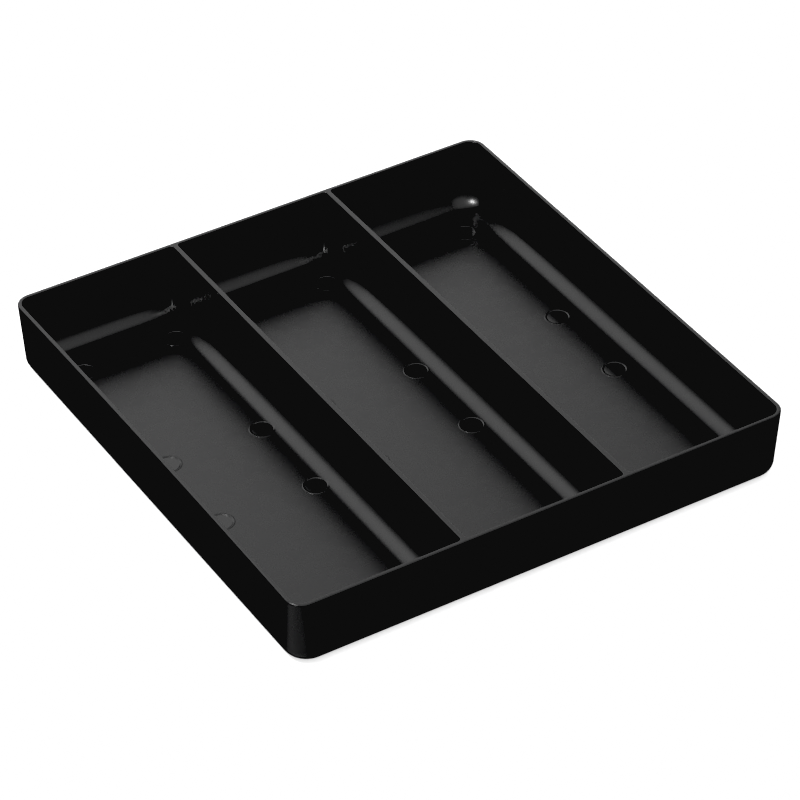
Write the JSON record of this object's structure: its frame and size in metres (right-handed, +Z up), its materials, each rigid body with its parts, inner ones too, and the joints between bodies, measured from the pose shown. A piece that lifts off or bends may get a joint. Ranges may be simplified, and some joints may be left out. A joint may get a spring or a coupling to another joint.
{
  "type": "compartment tray",
  "caption": "Shallow square tray moulded in one piece, with long open compartments between thin dividers, coved floors and a rounded foot.",
  "frame": {"origin": "on the surface that the tray stands on, under the centre of its outline", "axes": "+Z up out of the compartments, +Y along the dividers from the front wall to the back wall, +X across the compartments"},
  "size_m": [0.267, 0.2746, 0.0366],
  "materials": {
    "moulding": "black moulded ABS, satin, with a fine texture on the floors"
  },
  "bodies": {
    "root": {"divider_left": "moulding", "divider_right": "moulding", "floor_left": "moulding", "floor_middle": "moulding", "floor_right": "moulding", "wall_left": "moulding", "wall_right": "moulding", "wall_front": "moulding", "wall_back": "moulding", "corner_front_left": "moulding", "corner_front_right": "moulding", "corner_back_left": "moulding", "corner_back_right": "moulding"}
  },
  "joints": []
}
